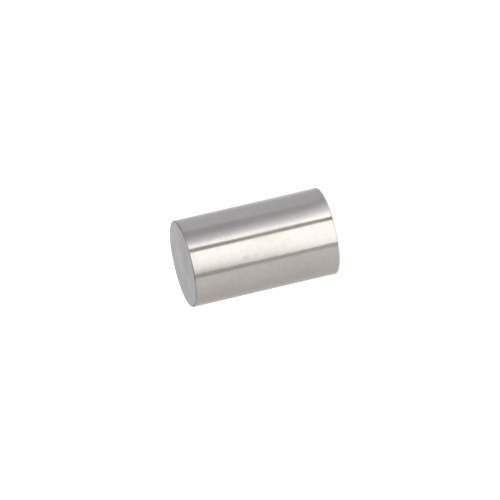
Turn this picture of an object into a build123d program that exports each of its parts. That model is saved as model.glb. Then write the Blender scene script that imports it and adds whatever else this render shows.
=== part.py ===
from build123d import *
import os

# Cylindrical roller, as it runs loose between two raceways or in a one-way clutch. It is one
# piece of hardened steel, ground all over. It stands on one end face, with its axis along Z
# and the centre of that face at the origin, and its upper half mirrors its lower half.
#
# The rolling surface is straight over its middle. Next to each end face it falls away by a
# few thousandths of a millimetre, so that the roller's ends don't bite into the raceway, and
# a small round breaks the edge that is left there.

# Driving dimensions, in millimetres
roller_diameter = 10.0  # over the straight middle of the rolling surface
roller_length = 17.0  # from one end face to the other
relief_length = 3.0  # stretch next to each end face where the rolling surface falls away
relief_drop = 0.006  # how much smaller the radius is where that stretch meets the end face
edge_radius = 0.15  # round between the rolling surface and an end face

roller_radius = roller_diameter / 2
half_length = roller_length / 2
half_land = half_length - relief_length  # from mid-length to where the relief starts

# The section is drawn about mid-length: its own Y runs along the roller's axis.
section_plane = Plane(origin=(0, 0, half_length), x_dir=(1, 0, 0), z_dir=(0, -1, 0))

with BuildPart() as roller:
    with BuildSketch(section_plane) as section:
        with BuildLine():
            land = Line((roller_radius, -half_land), (roller_radius, half_land))
            relief = TangentArc(
                land @ 1,
                (roller_radius - relief_drop, half_length),
                tangent=land % 1,
            )
            end_face = Line(relief @ 1, (0, half_length))
            mirror([relief, end_face], about=Plane.XZ)
            Line((0, half_length), (0, -half_length))
        make_face()

        # At each end the rim is the corner that lies furthest from the axis.
        levels = section.vertices().group_by(Axis.Y)
        rims = [level.sort_by(Axis.X)[-1] for level in (levels[0], levels[-1])]
        fillet(rims, radius=edge_radius)
    revolve(axis=Axis.Z)

roller.part.label = "roller"

os.makedirs("parts", exist_ok=True)
export_step(roller.part, "parts/roller.step")
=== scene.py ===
"""Looks of the cylindrical roller: its ground steel, and the small studio that it stands in."""

import logging
import math
from dataclasses import dataclass, field, fields, replace
from enum import Enum
from typing import ClassVar

import bpy
from mathutils import Matrix, Vector

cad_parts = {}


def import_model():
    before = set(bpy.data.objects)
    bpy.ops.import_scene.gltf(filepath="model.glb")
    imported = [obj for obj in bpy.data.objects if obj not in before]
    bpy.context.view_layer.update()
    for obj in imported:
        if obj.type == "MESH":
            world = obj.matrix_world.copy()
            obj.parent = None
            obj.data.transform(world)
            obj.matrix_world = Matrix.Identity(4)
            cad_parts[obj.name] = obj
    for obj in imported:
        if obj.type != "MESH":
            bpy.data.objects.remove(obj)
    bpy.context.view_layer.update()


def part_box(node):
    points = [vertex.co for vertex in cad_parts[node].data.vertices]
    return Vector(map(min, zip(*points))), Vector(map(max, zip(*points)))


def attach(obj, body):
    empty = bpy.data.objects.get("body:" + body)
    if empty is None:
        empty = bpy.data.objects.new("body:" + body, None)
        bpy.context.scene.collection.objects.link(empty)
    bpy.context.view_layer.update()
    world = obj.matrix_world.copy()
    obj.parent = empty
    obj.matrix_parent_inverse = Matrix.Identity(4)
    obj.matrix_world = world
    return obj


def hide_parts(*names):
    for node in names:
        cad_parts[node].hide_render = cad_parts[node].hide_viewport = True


log = logging.getLogger("roller")

MM = 0.001  # one millimetre, in metres
UM = 0.000001  # one micrometre, in metres

Pair = tuple[float, float]
Triple = tuple[float, float, float]
Rgb = tuple[float, float, float]
Value = bpy.types.NodeSocket | float | tuple[float, ...]  # what an input is linked or set to
Sockets = dict[str, bpy.types.NodeSocket]


class Surface(Enum):
    """The three finishes that a roller carries, by their place in its material slots."""

    ROLLING = 0
    END_FACE = 1
    RIM = 2


# ---- Node helpers ----

NOISE_MEAN = 0.5  # what a noise averages to
EVEN: Triple = (1.0, 1.0, 1.0)  # the stretch of a noise that isn't drawn out


class NodeBench:
    """A node tree with short calls to place nodes, set their inputs and link them."""

    # How the nodes are set out on the sheet.
    column_width: ClassVar[int] = 190
    row_height: ClassVar[int] = 160
    rows: ClassVar[int] = 3

    def __init__(self, tree: bpy.types.NodeTree) -> None:
        """Takes the node tree of a material, a world or a group."""
        self.tree = tree
        self.column = 0

    def add(
        self, kind: str, inputs: dict[str | int, Value] | None = None, **settings: object
    ) -> bpy.types.Node:
        """Places a node.

        Args:
            kind: the node's type, as Blender names it.
            inputs: socket name or index to a plain value, or to another node's output.
            **settings: attributes set on the node itself.

        Returns:
            The new node.
        """
        node = self.tree.nodes.new(kind)
        row = self.column % self.rows
        node.location = (self.column * self.column_width, -row * self.row_height)
        self.column += 1
        for name, value in settings.items():
            setattr(node, name, value)
        for socket, value in (inputs or {}).items():
            self.feed(node.inputs[socket], value)
        return node

    def feed(self, socket: bpy.types.NodeSocket, value: Value) -> None:
        """Links an output to an input, or sets the input's own value.

        Args:
            socket: the input.
            value: an output socket, a number or a tuple.
        """
        if isinstance(value, bpy.types.NodeSocket):
            self.tree.links.new(value, socket)
        else:
            socket.default_value = value

    def math(self, operation: str, *values: Value, clamp: bool = False) -> bpy.types.NodeSocket:
        """Places a Math node on one to three values, and gives its output."""
        inputs = dict(enumerate(values))
        return self.add("ShaderNodeMath", inputs, operation=operation, use_clamp=clamp).outputs[0]

    def vector_math(self, operation: str, first: Value, second: Value) -> bpy.types.NodeSocket:
        """Places a Vector Math node.

        Args:
            operation: ADD, MULTIPLY, SCALE or DISTANCE.
            first: a vector.
            second: a vector, or for SCALE a number.

        Returns:
            Its output, which for DISTANCE is a number and otherwise a vector.
        """
        other = "Scale" if operation == "SCALE" else 1
        node = self.add("ShaderNodeVectorMath", {0: first, other: second}, operation=operation)
        return node.outputs["Value" if operation == "DISTANCE" else "Vector"]

    def ramp(
        self,
        value: Value,
        start: Value,
        end: Value,
        low: Value = 0.0,
        high: Value = 1.0,
        smooth: bool = True,
    ) -> bpy.types.NodeSocket:
        """Maps start..end of a value to low..high, held at both ends.

        Args:
            value: what is mapped.
            start: where low is reached.
            end: where high is reached.
            low: the result at start.
            high: the result at end.
            smooth: eased at both ends, or else straight.

        Returns:
            The mapped output.
        """
        inputs = dict(enumerate((value, start, end, low, high)))
        kind = "SMOOTHSTEP" if smooth else "LINEAR"
        return self.add("ShaderNodeMapRange", inputs, interpolation_type=kind).outputs["Result"]

    def blend(self, share: Value, first: Value, second: Value) -> bpy.types.NodeSocket:
        """Mixes two colours.

        Args:
            share: 0 gives the first and 1 the second.
            first: a colour, or an output.
            second: a colour, or an output.

        Returns:
            The mixed colour.
        """
        node = self.add("ShaderNodeMix", data_type="RGBA")
        inputs = {socket.identifier: socket for socket in node.inputs}
        for name, value in (("Factor_Float", share), ("A_Color", first), ("B_Color", second)):
            self.feed(inputs[name], rgba(value) if isinstance(value, tuple) else value)
        return next(s for s in node.outputs if s.identifier == "Result_Color")

    def shade(self, colour: Value, change: Value) -> bpy.types.NodeSocket:
        """Makes a colour lighter or darker by a share of itself; 0 leaves it as it is."""
        return self.vector_math("SCALE", colour, self.math("ADD", change, 1.0))

    def stretched_noise(
        self,
        coordinate: Value,
        stretch: Triple,
        scale: Value,
        detail: float = 2.0,
        roughness: float = 0.5,
    ) -> bpy.types.NodeSocket:
        """Places a noise that is drawn out where its stretch is below 1.

        Args:
            coordinate: where it is read, in millimetres.
            stretch: factor on each axis of the coordinate.
            scale: features to a millimetre.
            detail: octaves.
            roughness: share that each octave keeps.

        Returns:
            A value from 0 to 1, about 0.5 on average.
        """
        inputs = {
            "Vector": self.vector_math("MULTIPLY", coordinate, stretch),
            "Scale": scale,
            "Detail": detail,
            "Roughness": roughness,
        }
        return self.add("ShaderNodeTexNoise", inputs).outputs["Fac"]


def rgba(colour: Rgb) -> tuple[float, float, float, float]:
    """Gives a colour full alpha."""
    return (*colour, 1.0)


def empty_bench(owner: bpy.types.Material | bpy.types.World) -> NodeBench:
    """Turns on the nodes of a material or a world, and clears its tree.

    Args:
        owner: the material or the world.

    Returns:
        A bench for its tree.
    """
    owner.use_nodes = True
    owner.node_tree.nodes.clear()
    return NodeBench(owner.node_tree)


class Way(Enum):
    """Which side of a group a socket is on, as Blender names it."""

    IN = "INPUT"
    OUT = "OUTPUT"


@dataclass(frozen=True)
class GroupSocket:
    """One named input or output of a shader node group."""

    name: str
    way: Way = Way.IN
    kind: str = "NodeSocketFloat"
    value: float | None = None


COORDINATE = GroupSocket("Coordinate", kind="NodeSocketVector")


# ---- Effects that the finishes share ----


class Effect:
    """A shader node group, built once and placed in each tree with its own values."""

    name: ClassVar[str]
    sockets: ClassVar[tuple[GroupSocket, ...]]

    @classmethod
    def fill(cls, bench: NodeBench, given: Sockets) -> Sockets:
        """Places the group's nodes; it takes the inputs and gives the outputs by name."""
        raise NotImplementedError(f"{cls.name} has no nodes of its own")

    @classmethod
    def group(cls) -> bpy.types.NodeTree:
        """Builds the group the first time, and gives the same one again after that.

        Returns:
            The group.
        """
        made = bpy.data.node_groups.get(cls.name)
        if made is not None:
            return made
        tree = bpy.data.node_groups.new(cls.name, "ShaderNodeTree")
        for item in cls.sockets:
            socket = tree.interface.new_socket(
                name=item.name, in_out=item.way.value, socket_type=item.kind
            )
            if item.value is not None:
                socket.default_value = item.value
        bench = NodeBench(tree)
        entry = bench.add("NodeGroupInput")
        results = cls.fill(bench, {socket.name: socket for socket in entry.outputs if socket.name})
        bench.add("NodeGroupOutput", results)
        return tree

    @classmethod
    def place(cls, bench: NodeBench, inputs: dict[str, Value]) -> Sockets:
        """Puts the group into a tree with these inputs, and gives its outputs by name."""
        node = bench.add("ShaderNodeGroup", inputs, node_tree=cls.group())
        return {socket.name: socket for socket in node.outputs}


class GrindingLay(Effect):
    """Fine parallel marks of a grinding wheel.

    It takes a Coordinate in millimetres whose Z runs across the marks, and puts out Height
    from 0 to 1, and Streak from -1 to 1, which is 0 on average.
    """

    name = "grinding_lay"
    sockets = (
        COORDINATE,
        GroupSocket("Marks per mm"),
        GroupSocket("Fine share", value=0.4),
        GroupSocket("Height", Way.OUT),
        GroupSocket("Streak", Way.OUT),
    )
    coarse_stretch: ClassVar[Triple] = (0.05, 0.05, 1.0)
    fine_stretch: ClassVar[Triple] = (0.09, 0.09, 1.0)
    fine_per_coarse: ClassVar[float] = 3.7
    streak_low: ClassVar[float] = 0.34  # the height of the darkest streak
    streak_high: ClassVar[float] = 0.66  # and of the lightest

    @classmethod
    def fill(cls, bench: NodeBench, given: Sockets) -> Sockets:
        """Places coarse and fine marks, and weighs them together.

        Args:
            bench: the group's tree.
            given: the group's inputs by name.

        Returns:
            Height and Streak.
        """
        coordinate, pace, share = given["Coordinate"], given["Marks per mm"], given["Fine share"]
        coarse = bench.stretched_noise(
            coordinate, cls.coarse_stretch, pace, detail=3.0, roughness=0.62
        )
        fine_pace = bench.math("MULTIPLY", pace, cls.fine_per_coarse)
        fine = bench.stretched_noise(
            coordinate, cls.fine_stretch, fine_pace, detail=2.0, roughness=0.7
        )
        rest = bench.math("MULTIPLY", coarse, bench.math("SUBTRACT", 1.0, share))
        height = bench.math("MULTIPLY_ADD", fine, share, rest)
        streak = bench.ramp(height, cls.streak_low, cls.streak_high, -1.0, 1.0, smooth=False)
        return {"Height": height, "Streak": streak}


class Cloudiness(Effect):
    """Soft patches, as handling, oil and uneven honing leave them.

    It takes a Coordinate in millimetres, and puts out Mask from 0 to 1.
    """

    name = "cloudiness"
    sockets = (
        COORDINATE,
        GroupSocket("Patches per mm", value=0.35),
        GroupSocket("Spread", value=0.4),
        GroupSocket("Mask", Way.OUT),
    )
    large_stretch: ClassVar[Triple] = (1.0, 1.0, 0.55)
    small_stretch: ClassVar[Triple] = (1.0, 1.0, 0.8)
    small_per_large: ClassVar[float] = 5.3
    small_share: ClassVar[float] = 0.4

    @classmethod
    def fill(cls, bench: NodeBench, given: Sockets) -> Sockets:
        """Places large patches broken up by small ones.

        Args:
            bench: the group's tree.
            given: the group's inputs by name.

        Returns:
            Mask.
        """
        coordinate, pace = given["Coordinate"], given["Patches per mm"]
        large = bench.stretched_noise(coordinate, cls.large_stretch, pace, detail=3.0)
        small_pace = bench.math("MULTIPLY", pace, cls.small_per_large)
        small = bench.stretched_noise(
            coordinate, cls.small_stretch, small_pace, detail=3.0, roughness=0.6
        )
        rest = bench.math("MULTIPLY", large, 1.0 - cls.small_share)
        mixed = bench.math("MULTIPLY_ADD", small, cls.small_share, rest)
        half = bench.math("MULTIPLY", given["Spread"], 0.5)
        start = bench.math("SUBTRACT", NOISE_MEAN, half)
        end = bench.math("ADD", NOISE_MEAN, half)
        return {"Mask": bench.ramp(mixed, start, end)}


class HonedSkin(Effect):
    """The slight unevenness that honing leaves, which makes a reflection's edge shiver.

    It takes a Coordinate in millimetres and a Depth, and puts out Height in the same unit
    as Depth.
    """

    name = "honed_skin"
    sockets = (
        COORDINATE,
        GroupSocket("Dimples per mm", value=1.1),
        GroupSocket("Depth"),
        GroupSocket("Height", Way.OUT),
    )
    skin_stretch: ClassVar[Triple] = (1.0, 1.0, 0.8)
    strip_stretch: ClassVar[Triple] = (1.0, 1.0, 0.12)
    strip_start: ClassVar[Triple] = (174.0, 0.0, 0.0)  # where they are read, in millimetres
    strips_per_mm: ClassVar[float] = 0.45
    strip_low: ClassVar[float] = 0.38  # the strips' noise where they are shallowest
    strip_high: ClassVar[float] = 0.62  # and where they are deepest
    shallowest: ClassVar[float] = 0.05  # as a share of Depth
    deepest: ClassVar[float] = 1.1

    @classmethod
    def fill(cls, bench: NodeBench, given: Sockets) -> Sockets:
        """Places fine unevenness, deeper in some strips along the roller than in others.

        Args:
            bench: the group's tree.
            given: the group's inputs by name.

        Returns:
            Height.
        """
        coordinate = given["Coordinate"]
        skin = bench.stretched_noise(
            coordinate, cls.skin_stretch, given["Dimples per mm"], detail=3.0, roughness=0.62
        )
        moved = bench.vector_math("ADD", coordinate, cls.strip_start)
        strips = bench.stretched_noise(moved, cls.strip_stretch, cls.strips_per_mm, detail=1.0)
        share = bench.ramp(strips, cls.strip_low, cls.strip_high, cls.shallowest, cls.deepest)
        depth = bench.math("MULTIPLY", given["Depth"], share)
        return {"Height": bench.math("MULTIPLY", skin, depth)}


class SoftSpot(Effect):
    """A soft spot with a frayed edge; on the end faces and rims it paints highlight and shade.

    It takes a Coordinate in millimetres, and puts out Mask, which is 1 at the Middle and 0
    from the Radius on.
    """

    name = "soft_spot"
    sockets = (
        COORDINATE,
        GroupSocket("Middle", kind="NodeSocketVector"),
        GroupSocket("Radius"),
        GroupSocket("Mask", Way.OUT),
    )
    frays_per_mm: ClassVar[float] = 1.4
    fray: ClassVar[float] = 1.6  # how much the edge wanders, as a share of the radius
    core: ClassVar[float] = 0.2  # where the mask starts to fall, as a share of the radius

    @classmethod
    def fill(cls, bench: NodeBench, given: Sockets) -> Sockets:
        """Measures the way from the middle, and frays it.

        Args:
            bench: the group's tree.
            given: the group's inputs by name.

        Returns:
            Mask.
        """
        coordinate, radius = given["Coordinate"], given["Radius"]
        away = bench.vector_math("DISTANCE", coordinate, given["Middle"])
        noise = bench.stretched_noise(coordinate, EVEN, cls.frays_per_mm, roughness=0.6)
        swing = bench.math("MULTIPLY", bench.math("SUBTRACT", noise, NOISE_MEAN), cls.fray)
        frayed = bench.math("MULTIPLY_ADD", swing, radius, away)
        core = bench.math("MULTIPLY", radius, cls.core)
        return {"Mask": bench.ramp(frayed, core, radius, 1.0, 0.0)}


class Hairlines(Effect):
    """Sparse thin scratches that wander over the steel.

    It takes a Coordinate in millimetres, and puts out Mask, which is 1 in a scratch.
    """

    name = "hairlines"
    sockets = (
        COORDINATE,
        GroupSocket("Lines per mm", value=0.8),
        GroupSocket("Width", value=0.006),
        GroupSocket("Sparseness", value=0.56),
        GroupSocket("Mask", Way.OUT),
    )
    # The two families of scratches: how each is drawn out, and how far off it is read.
    families: ClassVar[tuple[tuple[Triple, float], ...]] = (
        ((1.0, 1.0, 0.12), 3.1),
        ((0.2, 0.2, 0.8), 17.4),
    )
    gaps_per_mm: ClassVar[float] = 0.9
    gap_softness: ClassVar[float] = 0.12

    @classmethod
    def fill(cls, bench: NodeBench, given: Sockets) -> Sockets:
        """Cuts thin lines out of two noises, and breaks them up with a third.

        Args:
            bench: the group's tree.
            given: the group's inputs by name.

        Returns:
            Mask.
        """
        coordinate, sparseness = given["Coordinate"], given["Sparseness"]
        lines = []
        for stretch, offset in cls.families:
            moved = bench.vector_math("ADD", coordinate, (offset, -offset, offset / 2))
            noise = bench.stretched_noise(moved, stretch, given["Lines per mm"], detail=1.0)
            off = bench.math("ABSOLUTE", bench.math("SUBTRACT", noise, NOISE_MEAN))
            lines.append(bench.ramp(off, 0.0, given["Width"], 1.0, 0.0))
        both = bench.math("MAXIMUM", *lines)
        gaps = bench.stretched_noise(coordinate, EVEN, cls.gaps_per_mm)
        kept = bench.ramp(gaps, sparseness, bench.math("ADD", sparseness, cls.gap_softness))
        return {"Mask": bench.math("MULTIPLY", both, kept, clamp=True)}


class EndWear(Effect):
    """The burnished strip beside a rim, where a roller rubs its rib or cage.

    It takes a Coordinate and the roller's Length in millimetres, and puts out Mask, which
    is 1 at the rim and fades with distance.
    """

    name = "end_wear"
    sockets = (
        COORDINATE,
        GroupSocket("Length"),
        GroupSocket("Reach", value=0.5),
        GroupSocket("Mask", Way.OUT),
    )
    frays_per_mm: ClassVar[float] = 2.2
    full_to: ClassVar[float] = 0.4  # in reaches from the end face
    none_from: ClassVar[float] = 2.0

    @classmethod
    def fill(cls, bench: NodeBench, given: Sockets) -> Sockets:
        """Measures the way to the nearer end, and frays it a little.

        Args:
            bench: the group's tree.
            given: the group's inputs by name.

        Returns:
            Mask.
        """
        coordinate, reach = given["Coordinate"], given["Reach"]
        height = bench.add("ShaderNodeSeparateXYZ", {0: coordinate}).outputs["Z"]
        nearer = bench.math("MINIMUM", height, bench.math("SUBTRACT", given["Length"], height))
        noise = bench.stretched_noise(coordinate, EVEN, cls.frays_per_mm, detail=3.0)
        frayed = bench.math("MULTIPLY_ADD", noise, reach, nearer)
        full = bench.math("MULTIPLY", reach, cls.full_to)
        none = bench.math("MULTIPLY", reach, cls.none_from)
        return {"Mask": bench.ramp(frayed, full, none, 1.0, 0.0)}


# ---- Finishes ----


def millimetre_coordinate(bench: NodeBench) -> bpy.types.NodeSocket:
    """Places the object's own coordinate, in millimetres."""
    own = bench.add("ShaderNodeTexCoord").outputs["Object"]
    return bench.vector_math("SCALE", own, 1 / MM)


def start_material(name: str) -> tuple[bpy.types.Material, NodeBench, bpy.types.Node]:
    """Makes a metal with an empty Principled shader.

    Args:
        name: the material's name.

    Returns:
        The material, its bench and its Principled node.
    """
    material = bpy.data.materials.new(name)
    bench = empty_bench(material)
    shader = bench.add("ShaderNodeBsdfPrincipled", {"Metallic": 1.0})
    bench.add("ShaderNodeOutputMaterial", {"Surface": shader.outputs[0]})
    return material, bench, shader


@dataclass(frozen=True)
class Spot:
    """A soft lighter or darker spot on the steel, in millimetres from the middle of the lower end
    face; on the end faces and rims it is painted highlight and shade.
    """

    middle: Triple
    radius: float
    change: float  # how much lighter the steel is at its middle; below 0 is darker


def spot_changes(
    bench: NodeBench, at: bpy.types.NodeSocket, spots: tuple[Spot, ...]
) -> bpy.types.NodeSocket:
    """Adds up the spots on a surface, which on the end faces and rims are painted highlight and
    shade.

    Args:
        bench: the material's tree.
        at: the coordinate, in millimetres.
        spots: the marks.

    Returns:
        How much lighter the steel is, as a share of its colour.
    """
    total: Value = 0.0
    for spot in spots:
        inputs = {"Coordinate": at, "Middle": spot.middle, "Radius": spot.radius}
        mask = SoftSpot.place(bench, inputs)["Mask"]
        total = bench.math("MULTIPLY_ADD", mask, spot.change, total)
    return total


def set_relief(bench: NodeBench, shader: bpy.types.Node, height: bpy.types.NodeSocket) -> None:
    """Gives a Principled shader its surface relief, from a height in metres."""
    bump = bench.add("ShaderNodeBump", {"Height": height, "Strength": 1.0, "Distance": 1.0})
    bench.feed(shader.inputs["Normal"], bump.outputs[0])


@dataclass(frozen=True)
class RollingFinish:
    """Centreless-ground and honed steel: a soft mirror with fine marks round the roller."""

    clean: Rgb = (0.634, 0.629, 0.621)
    clouded: Rgb = (0.583, 0.576, 0.566)
    roughness_low: float = 0.105
    roughness_high: float = 0.165
    wear_share: float = 0.35  # how much the strips beside the rims add to the clouding
    marks_per_mm: float = 9.0
    mark_depth_um: float = 0.16
    mark_change: float = 0.028
    mark_roughness: float = 0.012
    skin_depth_um: float = 12.0
    scratch_depth_um: float = 0.35
    scratch_change: float = -0.06
    scratch_roughness: float = 0.1
    spots: tuple[Spot, ...] = (Spot((-0.94, -4.91, 10.8), 0.42, -0.11),)

    def make(self, length_mm: float) -> bpy.types.Material:
        """Builds the material.

        Args:
            length_mm: the roller's length, for the strips beside its rims.

        Returns:
            The material.
        """
        material, bench, shader = start_material("rolling_steel")
        at = millimetre_coordinate(bench)
        lay = GrindingLay.place(bench, {"Coordinate": at, "Marks per mm": self.marks_per_mm})
        cloud = Cloudiness.place(bench, {"Coordinate": at})["Mask"]
        lines = Hairlines.place(bench, {"Coordinate": at})["Mask"]
        wear = EndWear.place(bench, {"Coordinate": at, "Length": length_mm})["Mask"]
        depth = self.skin_depth_um * UM
        skin = HonedSkin.place(bench, {"Coordinate": at, "Depth": depth})["Height"]

        dulled = bench.math("MULTIPLY_ADD", wear, self.wear_share, cloud)
        share = bench.math("MINIMUM", dulled, 1.0)
        spot_tone = spot_changes(bench, at, self.spots)
        streaked = bench.math("MULTIPLY_ADD", lay["Streak"], self.mark_change, spot_tone)
        change = bench.math("MULTIPLY_ADD", lines, self.scratch_change, streaked)
        colour = bench.blend(share, self.clean, self.clouded)
        bench.feed(shader.inputs["Base Color"], bench.shade(colour, change))

        rough = bench.ramp(share, 0.0, 1.0, self.roughness_low, self.roughness_high, smooth=False)
        streaky = bench.math("MULTIPLY_ADD", lay["Streak"], self.mark_roughness, rough)
        scratched = bench.math("MULTIPLY_ADD", lines, self.scratch_roughness, streaky)
        bench.feed(shader.inputs["Roughness"], scratched)

        ground = bench.math("MULTIPLY_ADD", lay["Height"], self.mark_depth_um * UM, skin)
        cut = bench.math("MULTIPLY_ADD", lines, -self.scratch_depth_um * UM, ground)
        set_relief(bench, shader, cut)
        return material


@dataclass(frozen=True)
class Wheel:
    """One pass of a wide grinding wheel over an end face."""

    radius_mm: float
    bearing: float  # where the wheel's centre lies, in degrees from +X
    marks_per_mm: float
    weight: float  # its share of what shows


@dataclass(frozen=True)
class FaceFinish:
    """Face-ground steel: satin, with the flat crossing arcs of two wide wheels."""

    clean: Rgb = (0.658, 0.653, 0.659)
    clouded: Rgb = (0.580, 0.577, 0.583)
    roughness_low: float = 0.34
    roughness_high: float = 0.45
    patches_per_mm: float = 0.5
    patch_spread: float = 0.55
    wheels: tuple[Wheel, ...] = (
        Wheel(60.0, 35.0, 4.5, 0.78),
        Wheel(45.0, 98.0, 7.0, 0.22),
    )
    mark_depth_um: float = 1.6
    mark_change: float = 0.08
    mark_roughness: float = -0.04
    scratches_per_mm: float = 0.6
    scratch_sparseness: float = 0.5
    scratch_change: float = 0.06
    # Painted highlight in the middle of the face, and painted shade in the darker patches round
    # it.
    spots: tuple[Spot, ...] = (
        Spot((0.5, 0.8, 17.0), 2.4, 0.07),
        Spot((1.3, -2.2, 17.0), 3.4, -0.12),
        Spot((-2.8, -3.2, 17.0), 3.0, -0.05),
        Spot((-3.3, 1.4, 17.0), 2.4, -0.06),
    )

    def wheel_lay(self, bench: NodeBench, at: bpy.types.NodeSocket, wheel: Wheel) -> Sockets:
        """Places the marks of one wheel, whose centre lies far off to one side.

        Args:
            bench: the material's tree.
            at: the coordinate, in millimetres.
            wheel: the wheel.

        Returns:
            The outputs of its grinding lay, which crosses the face as flat arcs.
        """
        turn = math.radians(wheel.bearing)
        centre = (wheel.radius_mm * math.cos(turn), wheel.radius_mm * math.sin(turn), 0.0)
        flat = bench.vector_math("MULTIPLY", at, (1.0, 1.0, 0.0))
        across = bench.vector_math("DISTANCE", flat, centre)
        parts = bench.add("ShaderNodeSeparateXYZ", {0: at}).outputs
        arcs = bench.add("ShaderNodeCombineXYZ", {"X": parts["X"], "Y": parts["Y"], "Z": across})
        return GrindingLay.place(
            bench, {"Coordinate": arcs.outputs[0], "Marks per mm": wheel.marks_per_mm}
        )

    def make(self) -> bpy.types.Material:
        """Builds the material.

        Returns:
            The material.
        """
        material, bench, shader = start_material("face_steel")
        at = millimetre_coordinate(bench)
        height: Value = 0.0
        streak: Value = 0.0
        for wheel in self.wheels:
            lay = self.wheel_lay(bench, at, wheel)
            height = bench.math("MULTIPLY_ADD", lay["Height"], wheel.weight, height)
            streak = bench.math("MULTIPLY_ADD", lay["Streak"], wheel.weight, streak)
        patches = {"Patches per mm": self.patches_per_mm, "Spread": self.patch_spread}
        share = Cloudiness.place(bench, {"Coordinate": at, **patches})["Mask"]
        thin = {"Lines per mm": self.scratches_per_mm, "Sparseness": self.scratch_sparseness}
        lines = Hairlines.place(bench, {"Coordinate": at, **thin})["Mask"]

        # The face's spots are painted highlight and shade.
        spot_tone = spot_changes(bench, at, self.spots)
        streaked = bench.math("MULTIPLY_ADD", streak, self.mark_change, spot_tone)
        change = bench.math("MULTIPLY_ADD", lines, self.scratch_change, streaked)
        colour = bench.blend(share, self.clean, self.clouded)
        bench.feed(shader.inputs["Base Color"], bench.shade(colour, change))

        rough = bench.ramp(share, 0.0, 1.0, self.roughness_low, self.roughness_high, smooth=False)
        streaky = bench.math("MULTIPLY_ADD", streak, self.mark_roughness, rough)
        bench.feed(shader.inputs["Roughness"], streaky)
        set_relief(bench, shader, bench.math("MULTIPLY", height, self.mark_depth_um * UM))
        return material


@dataclass(frozen=True)
class RimFinish:
    """The round between the rolling surface and an end face: dull, and darker partly as tumbled
    steel and partly as painted shade along the edge.
    """

    # Darker than the other steel, partly for its tumbled finish and partly as painted shade along
    # the edge.
    colour: Rgb = (0.36, 0.355, 0.35)
    worn: Rgb = (0.50, 0.495, 0.49)
    roughness: float = 0.42
    patches_per_mm: float = 0.9
    patch_spread: float = 0.3
    skin_per_mm: float = 7.0
    skin_depth_um: float = 2.5
    # Painted shade darkens two stretches of the upper rim, and a painted highlight lightens the
    # rim at the foot, facing the camera.
    spots: tuple[Spot, ...] = (
        Spot((4.1, -2.9, 17.0), 2.2, -0.40),
        Spot((-1.5, -4.77, 17.0), 1.2, -0.45),
        Spot((-0.7, -4.95, 0.0), 2.0, 0.45),
    )

    def make(self) -> bpy.types.Material:
        """Builds the material.

        Returns:
            The material.
        """
        material, bench, shader = start_material("rim_steel")
        at = millimetre_coordinate(bench)
        patches = {"Patches per mm": self.patches_per_mm, "Spread": self.patch_spread}
        cloud = Cloudiness.place(bench, {"Coordinate": at, **patches})["Mask"]
        colour = bench.blend(cloud, self.colour, self.worn)
        # The rim's spots are painted shade and a painted highlight.
        change = spot_changes(bench, at, self.spots)
        bench.feed(shader.inputs["Base Color"], bench.shade(colour, change))
        shader.inputs["Roughness"].default_value = self.roughness
        dimples = {"Dimples per mm": self.skin_per_mm, "Depth": self.skin_depth_um * UM}
        skin = HonedSkin.place(bench, {"Coordinate": at, **dimples})["Height"]
        set_relief(bench, shader, skin)
        return material


# ---- Turned meshes ----


def ring_points(radius: float, height: float, count: int) -> list[Vector]:
    """Spreads points evenly round the Z axis, counterclockwise as seen from above."""
    turns = [2 * math.pi * k / count for k in range(count)]
    return [Vector((radius * math.cos(t), radius * math.sin(t), height)) for t in turns]


def ring_quads(rings: int, count: int) -> list[tuple[int, ...]]:
    """Lists the quads that join each ring of points to the next one up.

    Args:
        rings: how many rings there are.
        count: the points in each.

    Returns:
        Their corners, ring by ring, in the order that faces them outward.
    """
    quads: list[tuple[int, ...]] = []
    for low in range(0, (rings - 1) * count, count):
        high = low + count
        for k in range(count):
            after = (k + 1) % count
            quads.append((low + k, low + after, high + after, high + k))
    return quads


def ring_fan(first: int, count: int, middle: int, upward: bool) -> list[tuple[int, ...]]:
    """Lists the triangles from a ring's sides to its middle point, facing up or else down."""
    sides = [(first + k, first + (k + 1) % count) for k in range(count)]
    return [(*side, middle) if upward else (*reversed(side), middle) for side in sides]


def put_in_scene(name: str, data: bpy.types.ID) -> bpy.types.Object:
    """Makes an object of a mesh, a lamp or a camera, and links it to the scene.

    Args:
        name: the object's name.
        data: the mesh, the lamp or the camera.

    Returns:
        The object.
    """
    made = bpy.data.objects.new(name, data)
    bpy.context.scene.collection.objects.link(made)
    return made


# ---- The roller ----


@dataclass(frozen=True)
class ProfilePoint:
    """One point of the turned outline, with the steel's outward direction there."""

    radius: float
    height: float
    normal: Pair
    surface: Surface  # of the stretch from this point to the next one


def arc_point(centre: Pair, radius: float, angle: float, surface: Surface) -> ProfilePoint:
    """Takes a point of the outline from an arc, on the side that the angle faces.

    Args:
        centre: the arc's centre, as its distance from the axis and its height.
        radius: the arc's radius.
        angle: the outward direction there, in radians up from level.
        surface: the surface that goes on from the point.

    Returns:
        The point.
    """
    normal = (math.cos(angle), math.sin(angle))
    return ProfilePoint(
        centre[0] + radius * normal[0], centre[1] + radius * normal[1], normal, surface
    )


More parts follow.
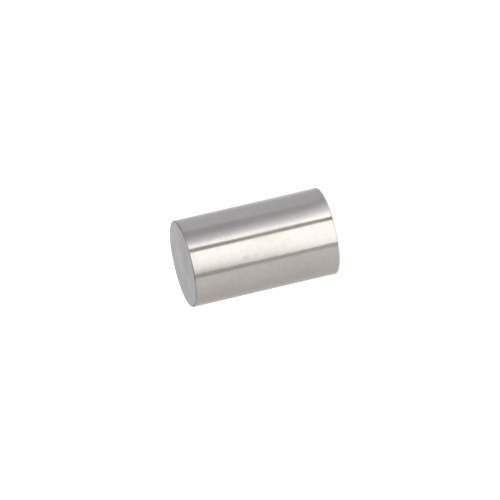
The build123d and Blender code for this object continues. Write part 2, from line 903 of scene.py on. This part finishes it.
@dataclass
class Roller:
    """The roller, turned about Z, with one end face on the floor.

    Its relief and rims have the sizes of the solid that it stands for.
    """

    radius: float
    length: float
    relief_length: float = 3.0 * MM
    relief_drop: float = 0.006 * MM
    edge_radius: float = 0.15 * MM
    segments: int = 384
    face_rings: int = 6
    rim_steps: int = 12
    # The rim's steps next to the rolling surface keep the rolling finish; the rim's painted shade
    # starts after them.
    rolling_finish_steps: int = 3  # of the rim's steps, those next to the rolling surface
    relief_steps: int = 10
    land_steps: int = 12
    rolling: RollingFinish = field(default_factory=RollingFinish)
    face: FaceFinish = field(default_factory=FaceFinish)
    rim: RimFinish = field(default_factory=RimFinish)

    def upper_profile(self) -> list[ProfilePoint]:
        """Traces the outline from mid-length up over the rim to the middle of the face.

        Returns:
            Its points, in order, with heights from mid-length.
        """
        half = self.length / 2
        land_end = half - self.relief_length
        # The relief is an arc that leaves the straight middle without a corner.
        arc_radius = (self.relief_length**2 + self.relief_drop**2) / (2 * self.relief_drop)
        arc_centre = self.radius - arc_radius
        # The rim's round touches the relief arc from inside, and the end face.
        rim_height = half - self.edge_radius
        rise = rim_height - land_end
        rim_centre = arc_centre + math.sqrt((arc_radius - self.edge_radius) ** 2 - rise**2)
        lean = math.asin(rise / (arc_radius - self.edge_radius))

        points = [
            ProfilePoint(self.radius, land_end * i / self.land_steps, (1.0, 0.0), Surface.ROLLING)
            for i in range(self.land_steps)
        ]
        for i in range(self.relief_steps):
            angle = lean * i / self.relief_steps
            points.append(arc_point((arc_centre, land_end), arc_radius, angle, Surface.ROLLING))
        for i in range(self.rim_steps):
            angle = lean + (math.pi / 2 - lean) * i / self.rim_steps
            # Past the first steps the rim takes its darker finish, which is partly painted shade.
            surface = Surface.ROLLING if i < self.rolling_finish_steps else Surface.RIM
            points.append(arc_point((rim_centre, rim_height), self.edge_radius, angle, surface))
        for i in range(self.face_rings):
            inset = rim_centre * (1 - i / self.face_rings)
            points.append(ProfilePoint(inset, half, (0.0, 1.0), Surface.END_FACE))
        return points

    def full_profile(self) -> list[ProfilePoint]:
        """Joins the outline to its mirror image.

        Returns:
            The points from the innermost ring of the lower face to that of the upper one,
            with heights from the floor.
        """
        half = self.length / 2
        upper = self.upper_profile()
        lower = [
            replace(
                point,
                height=half - point.height,
                normal=(point.normal[0], -point.normal[1]),
                surface=before.surface,
            )
            for before, point in zip(upper, upper[1:])
        ]
        return lower[::-1] + [replace(point, height=half + point.height) for point in upper]

    def build(self) -> bpy.types.Object:
        """Turns the outline into a closed mesh with exact normals.

        Returns:
            The roller's object.
        """
        profile = self.full_profile()
        count, rings = self.segments, len(profile)
        verts = [v for point in profile for v in ring_points(point.radius, point.height, count)]
        normals = [n for point in profile for n in ring_points(*point.normal, count)]
        faces = ring_quads(rings, count)
        slots = [point.surface.value for point in profile[:-1] for _ in range(count)]
        for first, height, upward in ((0, 0.0, False), ((rings - 1) * count, self.length, True)):
            faces += ring_fan(first, count, len(verts), upward)
            slots += [Surface.END_FACE.value] * count
            verts.append(Vector((0.0, 0.0, height)))
            normals.append(Vector((0.0, 0.0, 1.0 if upward else -1.0)))

        mesh = bpy.data.meshes.new("ground_roller")
        mesh.from_pydata(verts, [], faces)
        mesh.polygons.foreach_set("material_index", slots)
        mesh.polygons.foreach_set("use_smooth", [True] * len(faces))
        mesh.validate()
        mesh.normals_split_custom_set_from_vertices([n.normalized() for n in normals])
        mesh.update()
        return put_in_scene("ground_roller", mesh)

    def dress(self, piece: bpy.types.Object) -> None:
        """Gives each surface its finish, and ties the piece to the frame.

        Args:
            piece: the object that build gave.
        """
        made = {
            Surface.ROLLING: self.rolling.make(self.length / MM),
            Surface.END_FACE: self.face.make(),
            Surface.RIM: self.rim.make(),
        }
        for surface in Surface:
            piece.data.materials.append(made[surface])
        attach(piece, "root")
        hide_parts("roller")


# ---- The studio ----


@dataclass(frozen=True)
class Card:
    """A panel of the light tent, set out by its bearing in degrees.

    Bearings run from the camera's side, growing clockwise as seen from above. The reach is
    0 at the roller's foot, and grows to 1 next to the tent's wall.
    """

    name: str
    start: float
    end: float
    light: Rgb
    start_blur: float = 2.0
    end_blur: float = 2.0
    bend: float = 1.0  # above 1, the blurred sides fall off faster
    bend_outward: float = 0.0  # what is added to that at the wall
    fade: float = 0.0  # share of its light that is lost by its end, at the foot
    fade_outward: float = 0.0  # what is added to that share at the wall
    foot_gain: float = 0.0  # how much brighter it is at the foot than at the wall
    start_drift: float = 0.0  # how far its start moves by the wall
    end_drift: float = 0.0  # how far its end moves by the wall


# The fields that each card hands to its node group.
CARD_NUMBERS = [item.name for item in fields(Card) if item.type is float]


def socket_name(field_name: str) -> str:
    """Names a socket after a card's field, such as Start blur after start_blur."""
    return field_name.replace("_", " ").capitalize()


class TentCard(Effect):
    """One panel of the tent.

    It takes a Bearing in degrees, a Reach and a card's numbers, and puts out the panel's
    Mask and its Level, which its light is multiplied by.
    """

    name = "tent_card"
    sockets = (
        GroupSocket("Bearing"),
        GroupSocket("Reach"),
        *(GroupSocket(socket_name(number)) for number in CARD_NUMBERS),
        GroupSocket("Mask", Way.OUT),
        GroupSocket("Level", Way.OUT),
    )
    late_fade: ClassVar[float] = 3.0  # light is kept over most of the width, and lost late
    foot_fall: ClassVar[float] = 2.0  # how fast the gain falls off from the foot outward

    @classmethod
    def fill(cls, bench: NodeBench, given: Sockets) -> Sockets:
        """Places the two blurred sides and the fading across.

        Args:
            bench: the group's tree.
            given: the group's inputs by name.

        Returns:
            Mask and Level.
        """
        bearing, reach = given["Bearing"], given["Reach"]
        early = bench.math("SQRT", reach)
        start = bench.math("MULTIPLY_ADD", early, given["Start drift"], given["Start"])
        end = bench.math("MULTIPLY_ADD", early, given["End drift"], given["End"])
        rise_from = bench.math("SUBTRACT", start, given["Start blur"])
        fall_to = bench.math("ADD", end, given["End blur"])
        rise = bench.ramp(bearing, rise_from, start, smooth=False)
        fall = bench.ramp(bearing, end, fall_to, 1.0, 0.0, smooth=False)
        window = bench.math("MULTIPLY", rise, fall)
        bend = bench.math("MULTIPLY_ADD", reach, given["Bend outward"], given["Bend"])
        mask = bench.math("POWER", window, bend)
        lost = bench.math("MULTIPLY_ADD", reach, given["Fade outward"], given["Fade"])
        across = bench.ramp(bearing, start, end, smooth=False)
        late = bench.math("POWER", across, cls.late_fade)
        kept = bench.math("SUBTRACT", 1.0, bench.math("MULTIPLY", lost, late))
        near = bench.math("POWER", bench.math("SUBTRACT", 1.0, reach), cls.foot_fall)
        gain = bench.math("MULTIPLY_ADD", near, given["Foot gain"], 1.0)
        return {"Mask": mask, "Level": bench.math("MULTIPLY", kept, gain)}


@dataclass(frozen=True)
class LightTent:
    """A small closed tent of glowing cloth round the roller, which only reflections see.

    A round mirror shows a card as if from a line halfway between its axis and its
    surface. The bearings are measured from that line, so each card's edge shows as a
    straight line along the roller, from its foot up.
    """

    roller_radius: float
    radius: float = 90 * MM
    height: float = 110 * MM
    clearance: float = 0.02 * MM  # from the roller's foot and from the floor
    floor_ring: float = 0.4  # a ring of points on the floor cloth, as a share of the radius
    roof_ring: float = 0.5  # and one on the roof
    segments: int = 96
    full_reach: float = 0.85  # where the reach is 1, as a share of the radius
    roof_from: float = 0.55  # where the roof's light sets in, as a share of the height
    roof_full: float = 0.95
    cloth: Rgb = (0.645, 0.635, 0.64)
    roof: Rgb = (0.66, 0.655, 0.66)
    cards: tuple[Card, ...] = (
        Card("left_back", -172, -124, (0.75, 0.74, 0.745), 8, 14, end_drift=-27),
        Card("left_wall", -112, -30, (0.578, 0.568, 0.575), 18, 4, start_drift=-27),
        Card("right_wall", 46, 132, (0.625, 0.585, 0.565), 4, 20),
        Card("warm_glow", 46, 62, (0.765, 0.725, 0.70), 3, 54, bend=1.1),
        Card(
            "dim_side", -78, -70, (0.468, 0.450, 0.456), 7, 12,
            start_drift=-6.5, foot_gain=0.12,
        ),
        Card(
            "bounce", -38, -33, (1.61, 1.525, 1.485), 47, 1.5,
            bend=2.6, bend_outward=1.8, foot_gain=0.13,
        ),
        Card(
            "softbox", -23.4, 35.0, (1.62, 1.56, 1.475), 1.5, 3,
            fade=0.20, fade_outward=0.36, foot_gain=0.055,
        ),
        Card(
            "dark_edge_left", -29.1, -24.3, (0.384, 0.352, 0.322), 1.5, 1.5,
            start_drift=-2.9, foot_gain=0.06,
        ),
        Card(
            "dark_edge_right", 35.2, 41.0, (0.457, 0.433, 0.415), 1.5, 3,
            start_drift=0.7, end_drift=2.9, foot_gain=0.22,
        ),
    )

    def build(self) -> bpy.types.Object:
        """Lathes the floor cloth, the wall and the roof as one skin.

        Returns:
            The tent's object.
        """
        outline = [
            (self.roller_radius + self.clearance, self.clearance),
            (self.radius * self.floor_ring, self.clearance),
            (self.radius, self.clearance),
            (self.radius, self.height / 2),
            (self.radius, self.height),
            (self.radius * self.roof_ring, self.height),
        ]
        count, rings = self.segments, len(outline)
        verts = [v for radius, height in outline for v in ring_points(radius, height, count)]
        faces = ring_quads(rings, count)
        faces += ring_fan((rings - 1) * count, count, len(verts), upward=True)
        verts.append(Vector((0.0, 0.0, self.height)))
        mesh = bpy.data.meshes.new("light_tent")
        mesh.from_pydata(verts, [], faces)
        mesh.materials.append(self.material())
        tent = put_in_scene("light_tent", mesh)
        tent.visible_camera = False
        tent.visible_diffuse = False
        tent.visible_shadow = False
        return tent

    def material(self) -> bpy.types.Material:
        """Builds the tent's glow from its cards.

        Returns:
            The material.
        """
        material = bpy.data.materials.new("tent_glow")
        bench = empty_bench(material)
        place = bench.add("ShaderNodeNewGeometry").outputs["Position"]
        parts = bench.add("ShaderNodeSeparateXYZ", {0: place})
        x, y, z = (parts.outputs[name] for name in "XYZ")
        towards_camera = bench.math("SUBTRACT", -self.roller_radius / 2, y)
        sideways = bench.math("MULTIPLY", x, -1.0)
        bearing = bench.math("DEGREES", bench.math("ARCTAN2", sideways, towards_camera))
        out = bench.math(
            "SQRT", bench.math("ADD", bench.math("POWER", x, 2.0), bench.math("POWER", y, 2.0))
        )
        wall = self.radius * self.full_reach
        reach = bench.ramp(out, self.roller_radius, wall, smooth=False)

        glow: Value = self.cloth
        for card in self.cards:
            numbers = {socket_name(name): getattr(card, name) for name in CARD_NUMBERS}
            panel = TentCard.place(bench, {"Bearing": bearing, "Reach": reach, **numbers})
            panel["Mask"].node.label = card.name
            lit = bench.vector_math("SCALE", card.light, panel["Level"])
            glow = bench.blend(panel["Mask"], glow, lit)
        overhead = bench.ramp(z, self.height * self.roof_from, self.height * self.roof_full)
        glow = bench.blend(overhead, glow, self.roof)
        shine = bench.add("ShaderNodeEmission", {"Color": glow, "Strength": 1.0})
        bench.add("ShaderNodeOutputMaterial", {"Surface": shine.outputs[0]})
        return material


def seen_directly(bench: NodeBench) -> bpy.types.NodeSocket:
    """Tells the rays that see a backdrop from those that are lit by it.

    Args:
        bench: the tree that the node goes into.

    Returns:
        A value that is 1 for camera, glossy and transmission rays.
    """
    path = bench.add("ShaderNodeLightPath").outputs
    seen = bench.math("MAXIMUM", path["Is Camera Ray"], path["Is Glossy Ray"])
    return bench.math("MAXIMUM", seen, path["Is Transmission Ray"])


@dataclass(frozen=True)
class Studio:
    """A plain white floor under one soft lamp, with a white world round it."""

    floor_size: float = 3.0
    floor_gap: float = 0.02 * MM  # keeps the floor and the roller's lower face apart
    floor_colour: Rgb = (0.82, 0.82, 0.82)
    floor_lift: float = 0.48  # light of its own that the floor shows, so that it is white
    world_level: float = 0.72
    lamp_place: Triple = (0.16, -0.22, 0.50)
    lamp_size: float = 0.40
    lamp_power: float = 0.85

    def build(self) -> None:
        """Sets up the floor, the lamp and the world."""
        self.lay_floor()
        self.hang_lamp()
        self.light_world()

    def lay_floor(self) -> None:
        """Lays the floor, which catches the roller's shadow and is clear from beneath."""
        half, level = self.floor_size / 2, -self.floor_gap
        corners = [(-half, -half), (half, -half), (half, half), (-half, half)]
        mesh = bpy.data.meshes.new("studio_floor")
        mesh.from_pydata([(x, y, level) for x, y in corners], [], [(0, 1, 2, 3)])
        material = bpy.data.materials.new("floor_white")
        bench = empty_bench(material)
        matt = bench.add("ShaderNodeBsdfDiffuse", {"Color": rgba(self.floor_colour)})
        lift = bench.math("MULTIPLY", seen_directly(bench), self.floor_lift)
        shine = bench.add("ShaderNodeEmission", {"Strength": lift})
        both = bench.add("ShaderNodeAddShader", {0: matt.outputs[0], 1: shine.outputs[0]})
        beneath = bench.math(
            "MULTIPLY",
            bench.add("ShaderNodeNewGeometry").outputs["Backfacing"],
            bench.add("ShaderNodeLightPath").outputs["Is Camera Ray"],
        )
        clear = bench.add("ShaderNodeBsdfTransparent")
        laid = bench.add(
            "ShaderNodeMixShader", {0: beneath, 1: both.outputs[0], 2: clear.outputs[0]}
        )
        bench.add("ShaderNodeOutputMaterial", {"Surface": laid.outputs[0]})
        mesh.materials.append(material)
        put_in_scene("studio_floor", mesh)

    def hang_lamp(self) -> None:
        """Hangs the soft lamp, and turns it to the roller."""
        lamp = bpy.data.lights.new("soft_lamp", "AREA")
        lamp.size = self.lamp_size
        lamp.energy = self.lamp_power
        hung = put_in_scene("soft_lamp", lamp)
        hung.location = self.lamp_place
        hung.rotation_mode = "QUATERNION"
        hung.rotation_quaternion = (-Vector(self.lamp_place)).to_track_quat("-Z", "Y")
        hung.visible_glossy = False

    def light_world(self) -> None:
        """Gives the world a plain level, and shows it as white."""
        world = bpy.data.worlds.new("white_room")
        bench = empty_bench(world)
        level = bench.ramp(seen_directly(bench), 0.0, 1.0, self.world_level, 1.0, smooth=False)
        sky = bench.add(
            "ShaderNodeBackground", {"Color": (1.0, 1.0, 1.0, 1.0), "Strength": level}
        )
        bench.add("ShaderNodeOutputWorld", {"Surface": sky.outputs[0]})
        bpy.context.scene.world = world


@dataclass(frozen=True)
class ProductCamera:
    """A long lens, held on its side so that the roller lies across the picture."""

    distance: float = 0.600
    elevation: float = 12.3  # degrees above the roller's middle
    roll: float = -103.13  # degrees about the line of sight
    lens: float = 382.3  # millimetres
    sensor: float = 36.0  # millimetres
    nearest: float = 0.01
    furthest: float = 10.0
    right_of_middle: float = 0.50 * MM  # where the roller's middle sits in the picture
    above_middle: float = 0.30 * MM

    def place(self, middle: Vector) -> None:
        """Makes the camera and hands it to the scene.

        Args:
            middle: the roller's middle.
        """
        tilt, roll = math.radians(self.elevation), math.radians(self.roll)
        back = Vector((0.0, -math.cos(tilt), math.sin(tilt)))
        level_right = Vector((1.0, 0.0, 0.0))
        level_up = back.cross(level_right)
        right = level_right * math.cos(roll) + level_up * math.sin(roll)
        up = back.cross(right)
        aim = middle - right * self.right_of_middle - up * self.above_middle
        lens = bpy.data.cameras.new("product_camera")
        lens.sensor_width = self.sensor
        lens.lens = self.lens
        lens.clip_start = self.nearest
        lens.clip_end = self.furthest
        camera = put_in_scene("product_camera", lens)
        frame = Matrix((right, up, back)).transposed().to_4x4()
        camera.matrix_world = Matrix.Translation(aim + back * self.distance) @ frame
        bpy.context.scene.camera = camera


# ---- The whole scene ----


def main() -> None:
    """Builds the camera, the studio and the roller, in that order."""
    logging.basicConfig(level=logging.INFO, format="%(name)s: %(message)s")
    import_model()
    bpy.context.scene.view_settings.view_transform = "Standard"

    low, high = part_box("roller")
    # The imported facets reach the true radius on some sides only, so the furthest one counts.
    radius = max(high.x, high.y, -low.x, -low.y)
    roller = Roller(radius=radius, length=high.z - low.z)
    ProductCamera().place((low + high) / 2)
    log.info("camera is placed")
    Studio().build()
    tent = LightTent(roller.radius).build()
    log.info("studio is lit, with %s", tent.name)

    piece = roller.build()
    roller.dress(piece)
    log.info("%s has %d faces", piece.name, len(piece.data.polygons))


if __name__ == "__main__":
    main()
